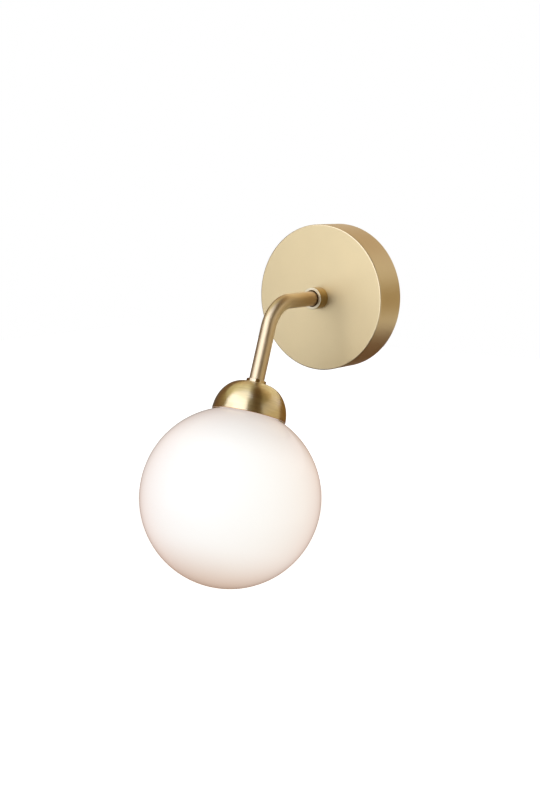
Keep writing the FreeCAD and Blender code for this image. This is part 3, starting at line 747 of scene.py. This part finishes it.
class SCONCE_OT_arm(bpy.types.Operator):
    """Carry the tube's wall along the bent arm"""

    bl_idname = "sconce.arm"
    bl_label = "Arm tube"

    def execute(self, context):
        sizes = context.scene.sconce_sizes
        level, arc, leaned = arm_lengths()
        total = level + arc + leaned
        end = 0.05 * MM
        line = np.concatenate([[0.0, end],
                               np.linspace(2 * MM, level, 10),
                               level + np.linspace(0, arc, 40)[1:],
                               level + arc + np.linspace(0, leaned, 12)[1:-1],
                               [total - end, total]])
        outer = np.full(len(line), sizes.tube_diameter / 2)
        inner = outer - sizes.tube_wall
        outline = np.stack([np.concatenate([outer, inner]), np.concatenate([line, line[::-1]])], 1)
        colours = context.scene.sconce_colours
        finish = satin_brass("arm satin brass", colours.arm, colours.arm_root, sizes)
        turned_piece("arm_bent_tube", arm_line, outline, True, "fixture",
                     finish, ["arm_tube"], segments=120)
        return {"FINISHED"}


class SCONCE_OT_ring(bpy.types.Operator):
    """Turn the neck ring that sits on the dome"""

    bl_idname = "sconce.ring"
    bl_label = "Neck ring"

    def execute(self, context):
        sizes = context.scene.sconce_sizes
        outer = sizes.ring_diameter / 2
        bore = sizes.tube_diameter / 2 + 0.05 * MM
        low = sizes.ring_top + sizes.ring_height
        outline = rounded([(bore, low), (bore, sizes.ring_top), (outer, sizes.ring_top), (outer, low)],
                          [0.05 * MM, 0.1 * MM, sizes.ring_edge, 0.1 * MM])
        finish = turned_brass("ring turned brass", context.scene.sconce_colours.ring, 0.10)
        turned_piece("neck_ring_turned", head_axis, outline, True, "fixture",
                     finish, ["neck_ring"], segments=160)
        return {"FINISHED"}


class SCONCE_OT_dome(bpy.types.Operator):
    """Spin the brushed dome"""

    bl_idname = "sconce.dome"
    bl_label = "Dome"

    def execute(self, context):
        sizes = context.scene.sconce_sizes
        rim = sizes.ring_top + sizes.ring_height + sizes.dome_height
        colours = context.scene.sconce_colours
        finish = brushed_brass("dome brushed brass", colours.dome, colours.lip, rim)
        turned_piece("dome_spun", head_axis, dome_outline(sizes), True, "fixture",
                     finish, ["dome_cup"])
        return {"FINISHED"}


def dome_outline(sizes, steps=64):
    """Flat crown and quarter ellipse outside, the same less the wall inside, and a rounded rim.

    Outside: radius = flat + width * cos t, station = rim - height * sin t, for t from pi/2 to 0.
    """
    flat = sizes.dome_crown / 2
    width = sizes.dome_diameter / 2 - flat
    height = sizes.dome_height
    wall = sizes.dome_wall
    top = sizes.ring_top + sizes.ring_height
    rim = top + height
    edge = sizes.dome_rim_edge
    t = np.linspace(pi / 2, np.arcsin(edge / height), steps)
    outside = np.stack([flat + width * np.cos(t), rim - height * np.sin(t)], 1)
    inside = np.stack([flat + (width - wall) * np.cos(t), rim - (height - wall) * np.sin(t)], 1)
    a = np.linspace(0, pi / 2, 6)[:, None]
    outer_edge = ((flat + width - edge, rim - edge)
                  + edge * np.hstack([np.cos(a), np.sin(a)]))
    inner_edge = ((flat + width - wall + edge, rim - edge)
                  + edge * np.hstack([-np.sin(a), np.cos(a)]))
    hole = sizes.rod_hole
    beside_hole = hole + 0.15 * MM
    near = 0.1 * MM
    crown = [(hole, top + wall), (hole, top + wall - near), (hole, top + near), (hole, top),
             (beside_hole, top)]
    under = [(beside_hole, top + wall)]
    return np.concatenate([crown, outside[:-1], outer_edge, inner_edge, inside[::-1][1:], under])


class SCONCE_OT_globe(bpy.types.Operator):
    """Blow the opal globe with its straight neck"""

    bl_idname = "sconce.globe"
    bl_label = "Opal globe"

    def execute(self, context):
        sizes = context.scene.sconce_sizes
        colours = context.scene.sconce_colours
        finish = opal_glass("opal glass", colours.opal, colours.skin, colours.glow,
                            colours.painted_shade_low_glow)
        turned_piece("globe_blown", head_axis, globe_outline(sizes), False, "globe",
                     finish, ["opal_globe"])
        return {"FINISHED"}


def globe_outline(sizes, steps=110):
    """Sphere from its lowest point up to the neck's fillet, the neck, and the inner sphere back.

    The fillet's centre is its radius off both the neck and the sphere, so its station is
    centre - sqrt((radius + fillet)^2 - (neck + fillet)^2).
    """
    radius = sizes.globe_diameter / 2
    centre = sizes.globe_station
    neck = sizes.neck_radius
    bore = neck - sizes.globe_wall
    inner = radius - sizes.globe_wall
    fillet = sizes.neck_fillet
    top = sizes.neck_top
    fillet_station = centre - sqrt((radius + fillet) ** 2 - (neck + fillet) ** 2)
    meet = np.arcsin((neck + fillet) / (radius + fillet))
    a = np.linspace(0, pi - meet, steps)
    outside = np.stack([radius * np.sin(a), centre + radius * np.cos(a)], 1)
    b = np.linspace(pi / 2 - meet, 0, 6)[1:]
    curve = np.stack([neck + fillet - fillet * np.cos(b), fillet_station + fillet * np.sin(b)], 1)
    below = top + 10 * MM
    lip = rounded([(neck, below), (neck, top), (bore, top), (bore, below)],
                  [0.5 * MM, 0.9 * MM, 0.9 * MM, 0.5 * MM], support=0.4 * MM)[1:3].reshape(-1, 2)
    a = np.linspace(pi - np.arcsin(bore / inner), 0, steps)
    inside = np.stack([inner * np.sin(a), centre + inner * np.cos(a)], 1)
    outside[0, 0] = inside[-1, 0] = 0.0
    return np.concatenate([outside, curve, lip, inside])


class SCONCE_OT_bulb(bpy.types.Operator):
    """Finish the lamp: base, pins, frosted envelope, board and chips"""

    bl_idname = "sconce.bulb"
    bl_label = "Bulb"

    def execute(self, context):
        give(["bulb_base"], grained("bulb base plastic", (0.80, 0.79, 0.76), 0.45, scale=700.0))
        give(["bulb_pins"], grained("pin nickel", (0.68, 0.66, 0.60), 0.25, 1.0, scale=2600.0))
        frost = grained("frosted envelope", (0.90, 0.89, 0.86), 0.5, scale=2200.0, contrast=0.03,
                        emission_strength=0.8)
        give(["bulb_envelope"], frost)
        give(["led_board"], grained("board ceramic", (0.82, 0.82, 0.80), 0.6, scale=2600.0))
        give(["led_chips"], grained("chip phosphor", (0.86, 0.62, 0.10), 0.5, scale=5000.0))
        return {"FINISHED"}


class SCONCE_OT_lampholder(bpy.types.Operator):
    """Finish the lampholder and what hangs it in the dome"""

    bl_idname = "sconce.lampholder"
    bl_label = "Lampholder and carrier"

    def execute(self, context):
        give(["lampholder_body"], grained("steatite", (0.80, 0.77, 0.69), 0.55, scale=1500.0,
                                          contrast=0.10, relief=0.02 * MM))
        give(["lampholder_contacts"], turned_brass("contact brass", (0.80, 0.62, 0.30), 0.3))
        give(["globe_carrier"], grained("white enamel", (0.82, 0.81, 0.78), 0.35, scale=700.0,
                                        contrast=0.04, coat_weight=0.4))
        give(["globe_seal"], grained("silicone", (0.70, 0.70, 0.68), 0.6, contrast=0.05))
        return {"FINISHED"}


class SCONCE_OT_fittings(bpy.types.Operator):
    """Finish the plated steel: bracket, strap, rods, nuts, washers and screws"""

    bl_idname = "sconce.fittings"
    bl_label = "Bracket and fittings"

    def execute(self, context):
        colours = context.scene.sconce_colours
        give(["wall_bracket", "lampholder_strap", "arm_washer", "dome_washer", "spacer_sleeve",
              "arm_nut", "head_nut", "arm_threaded_rod", "head_threaded_rod", "lampholder_screws",
              "terminal_screws", "terminal_block_screw"], zinc_plate("zinc plate", colours.zinc))
        give(["canopy_side_screws", "earth_screw"], turned_brass("screw brass", colours.screw, 0.3))
        return {"FINISHED"}


class SCONCE_OT_wiring(bpy.types.Operator):
    """Finish the wires, terminal block, clamps and earth tags"""

    bl_idname = "sconce.wiring"
    bl_label = "Wiring"

    def execute(self, context):
        give(["live_wire"], wire_sheath("brown sheath", (0.16, 0.07, 0.03)))
        give(["neutral_wire"], wire_sheath("blue sheath", (0.04, 0.16, 0.50)))
        give(["earth_wire"], earth_sheath("earth sheath"))
        give(["terminal_block"], grained("white nylon", (0.78, 0.77, 0.72), 0.5, scale=1100.0))
        give(["terminal_clamps"], turned_brass("clamp brass", (0.78, 0.60, 0.30), 0.32))
        give(["earth_tags"], grained("tinned brass", (0.66, 0.62, 0.52), 0.35, 1.0, scale=1700.0))
        return {"FINISHED"}


# Studio

# Distances of the light panels in metres, and the middle of the spheres that they are parts of
FAR = 2.0
NEAR = 0.5
PANEL_MIDDLE = np.array((0.0, -0.10, -0.07))

# Light panels round the sconce: name, azimuth span and elevation span in degrees, distance, light.
# Azimuth runs from -Y towards +X. The windows are bright, the flags are dark, and the bowl keeps
# the pale floor out of the polished metal.
PANELS = (
    ("low_window_left", (-50, -20), (-15, 10), FAR, (1.0, 1.0, 1.12)),
    ("low_window", (-20, 10), (-15, 10), FAR, (3.3, 3.3, 3.7)),
    ("low_window_shade", (10, 30), (-15, 10), FAR, (0.34, 0.34, 0.36)),
    ("front_window_left", (-50, -20), (10, 35), FAR, (1.46, 1.46, 1.65)),
    ("front_window", (-20, 10), (10, 35), FAR, (1.9, 1.9, 2.2)),
    ("front_window_right", (10, 30), (10, 35), FAR, (2.1, 2.1, 2.4)),
    ("high_window_left", (-60, -15), (35, 60), FAR, (2.2, 2.2, 2.5)),
    ("high_window", (-15, 30), (35, 60), FAR, (1.95, 1.95, 2.2)),
    ("top_window", (-60, 60), (60, 90), FAR, (1.2, 1.2, 1.35)),
    ("left_flag", (-105, -50), (-15, 10), FAR, (0.12, 0.06, 0.03)),
    ("far_left_flag", (-145, -105), (-15, 10), FAR, (0.11, 0.09, 0.07)),
    ("left_wall", (-145, -50), (10, 35), FAR, (0.2, 0.11, 0.05)),
    ("high_left_wall", (-120, -60), (35, 60), FAR, (0.78, 0.7, 0.42)),
    ("top_left", (-180, -60), (60, 90), FAR, (0.57, 0.51, 0.3)),
    ("right_flag", (30, 80), (-15, 10), FAR, (0.01, 0.01, 0.01)),
    ("right_edge", (30, 50), (10, 35), FAR, (0.20, 0.14, 0.07)),
    ("right_shade", (50, 80), (10, 35), FAR, (0.16, 0.09, 0.03)),
    ("right_wall", (80, 145), (10, 35), FAR, (0.78, 0.68, 0.54)),
    ("low_right_wall", (80, 145), (-15, 10), FAR, (0.62, 0.46, 0.26)),
    ("high_right_edge", (30, 60), (35, 60), FAR, (0.19, 0.14, 0.06)),
    ("high_right_wall", (60, 135), (35, 60), FAR, (0.12, 0.08, 0.03)),
    ("top_right", (60, 180), (60, 90), FAR, (0.11, 0.05, 0.02)),
    ("back_wall", (145, 215), (10, 35), FAR, (0.96, 0.84, 0.78)),
    ("low_back_wall", (145, 215), (-15, 10), FAR, (0.25, 0.13, 0.03)),
    ("high_back_wall", (135, 240), (35, 60), FAR, (0.62, 0.4, 0.2)),
    ("bowl_front", (-60, 60), (-50, -15), NEAR, (0.01, 0.01, 0.01)),
    ("bowl_right", (60, 135), (-32, -15), NEAR, (0.7, 0.62, 0.52)),
    ("bowl_low_right", (60, 135), (-50, -32), NEAR, (0.09, 0.05, 0.04)),
    ("bowl_back", (135, 300), (-50, -15), NEAR, (0.16, 0.07, 0.03)),
    ("bowl_bottom", (-180, 180), (-90, -50), NEAR, (0.01, 0.01, 0.01)),
)


def light_panel(name, azimuth, elevation, distance, light, columns=25, rows=13):
    """A panel of the studio: part of a sphere round the sconce, lit evenly, never seen itself.

    Its points are middle + distance * (sin a cos e, -cos a cos e, sin e), over its two spans.
    """
    a, e = np.meshgrid(np.radians(np.linspace(*azimuth, columns)),
                       np.radians(np.linspace(*elevation, rows)))
    outward = np.stack([np.sin(a) * np.cos(e), -np.cos(a) * np.cos(e), np.sin(e)], -1)
    points = PANEL_MIDDLE + distance * outward
    index = np.arange(a.size).reshape(a.shape)
    corners = [index[:-1, :-1], index[:-1, 1:], index[1:, 1:], index[1:, :-1]]
    mesh = bpy.data.meshes.new(name)
    mesh.from_pydata(points.reshape(-1, 3), [], np.stack(corners, -1).reshape(-1, 4))
    material = bpy.data.materials.new(name)
    material.use_nodes = True
    tree = material.node_tree
    tree.nodes.remove(tree.nodes["Principled BSDF"])
    glow = add_node(tree, "ShaderNodeEmission", None, {"Color": opaque(light), "Strength": 1.0})
    tree.links.new(glow.socket, tree.nodes["Material Output"].inputs["Surface"])
    mesh.materials.append(material)
    panel = bpy.data.objects.new(name, mesh)
    bpy.context.scene.collection.objects.link(panel)
    panel.visible_camera = False
    panel.visible_shadow = False


class SCONCE_OT_studio(bpy.types.Operator):
    """Set the floor, the light panels, the world and the camera"""

    bl_idname = "sconce.studio"
    bl_label = "Studio"

    def execute(self, context):
        studio = context.scene.sconce_studio
        for panel in PANELS:
            light_panel(*panel)
        pale_floor(studio.floor_drop)
        white_world()
        place_camera(studio)
        context.scene.view_settings.view_transform = "Standard"
        return {"FINISHED"}


def background_rays(tree):
    """1 for rays from the camera, and for those that metal and glass send on."""
    path = [add_node(tree, "ShaderNodeLightPath", output=name)
            for name in ("Is Camera Ray", "Is Glossy Ray", "Is Transmission Ray")]
    return path[0].math("MAXIMUM", path[0], path[1].math("MAXIMUM", path[1], path[2]))


def pale_floor(drop, half=4.0):
    """Wide pale floor that keeps the sconce's soft shadow; half is half its side in metres."""
    mesh = bpy.data.meshes.new("floor")
    corners = [(-half, -half, -drop), (half, -half, -drop), (half, half, -drop), (-half, half, -drop)]
    mesh.from_pydata(corners, [], [(0, 1, 2, 3)])
    floor = bpy.data.objects.new("floor", mesh)
    bpy.context.scene.collection.objects.link(floor)
    material = bpy.data.materials.new("pale floor")
    material.use_nodes = True
    tree = material.node_tree
    shader = tree.nodes["Principled BSDF"]
    tone = 0.8
    shader.inputs["Base Color"].default_value = (tone, tone, tone, 1)
    shader.inputs["Roughness"].default_value = 0.9
    shader.inputs["Emission Color"].default_value = (1, 1, 1, 1)
    tree.links.new((background_rays(tree) * tone).socket, shader.inputs["Emission Strength"])
    mesh.materials.append(material)


def white_world():
    """World that is white to the camera and in reflections, and a plain fill for everything else."""
    world = bpy.data.worlds.new("studio world")
    bpy.context.scene.world = world
    world.use_nodes = True
    tree = world.node_tree
    background = tree.nodes["Background"]
    background.inputs["Color"].default_value = (1, 1, 1, 1)
    fill = 0.5
    strength = fill + background_rays(tree) * (1 - fill)
    tree.links.new(strength.socket, background.inputs["Strength"])


def place_camera(studio):
    """Camera on its sphere round the origin, turned and dipped as the photograph was taken."""
    camera = bpy.data.cameras.new("photograph camera")
    camera.lens = studio.lens
    camera.sensor_width = 36.0
    camera.sensor_fit = "AUTO"
    camera.clip_start = 0.01
    viewer = bpy.data.objects.new("photograph camera", camera)
    bpy.context.scene.collection.objects.link(viewer)
    level = studio.distance * cos(studio.elevation)
    viewer.location = (level * sin(studio.azimuth), -level * cos(studio.azimuth),
                       studio.distance * sin(studio.elevation))
    viewer.rotation_euler = (pi / 2 - studio.elevation - studio.dip, 0, studio.azimuth + studio.turn)
    bpy.context.scene.camera = viewer


class SCONCE_PT_panel(bpy.types.Panel):
    """The sconce's pieces, sizes and colours"""

    bl_idname = "SCONCE_PT_panel"
    bl_label = "Globe wall sconce"
    bl_space_type = "VIEW_3D"
    bl_region_type = "UI"
    bl_category = "Sconce"

    def draw(self, context):
        for operator in OPERATORS:
            self.layout.operator(operator.bl_idname)
        scene = context.scene
        for group in (scene.sconce_sizes, scene.sconce_colours, scene.sconce_studio):
            box = self.layout.box()
            for key in group.__annotations__:
                box.prop(group, key)


OPERATORS = (SCONCE_OT_canopy, SCONCE_OT_collar, SCONCE_OT_arm, SCONCE_OT_ring, SCONCE_OT_dome,
             SCONCE_OT_globe, SCONCE_OT_bulb, SCONCE_OT_lampholder, SCONCE_OT_fittings,
             SCONCE_OT_wiring, SCONCE_OT_studio)
CLASSES = (SconceSizes, SconceColours, SconceStudio, *OPERATORS, SCONCE_PT_panel)


def register():
    """Register the classes and hang the settings on the scene."""
    for item in CLASSES:
        bpy.utils.register_class(item)
    bpy.types.Scene.sconce_sizes = PointerProperty(type=SconceSizes)
    bpy.types.Scene.sconce_colours = PointerProperty(type=SconceColours)
    bpy.types.Scene.sconce_studio = PointerProperty(type=SconceStudio)


def unregister():
    """Take the settings and classes away again."""
    del bpy.types.Scene.sconce_studio, bpy.types.Scene.sconce_colours, bpy.types.Scene.sconce_sizes
    for item in reversed(CLASSES):
        bpy.utils.unregister_class(item)


def main():
    """Make every piece in order."""
    register()
    for operator in OPERATORS:
        group, name = operator.bl_idname.split(".")
        getattr(getattr(bpy.ops, group), name)()


if __name__ == "__main__":
    main()
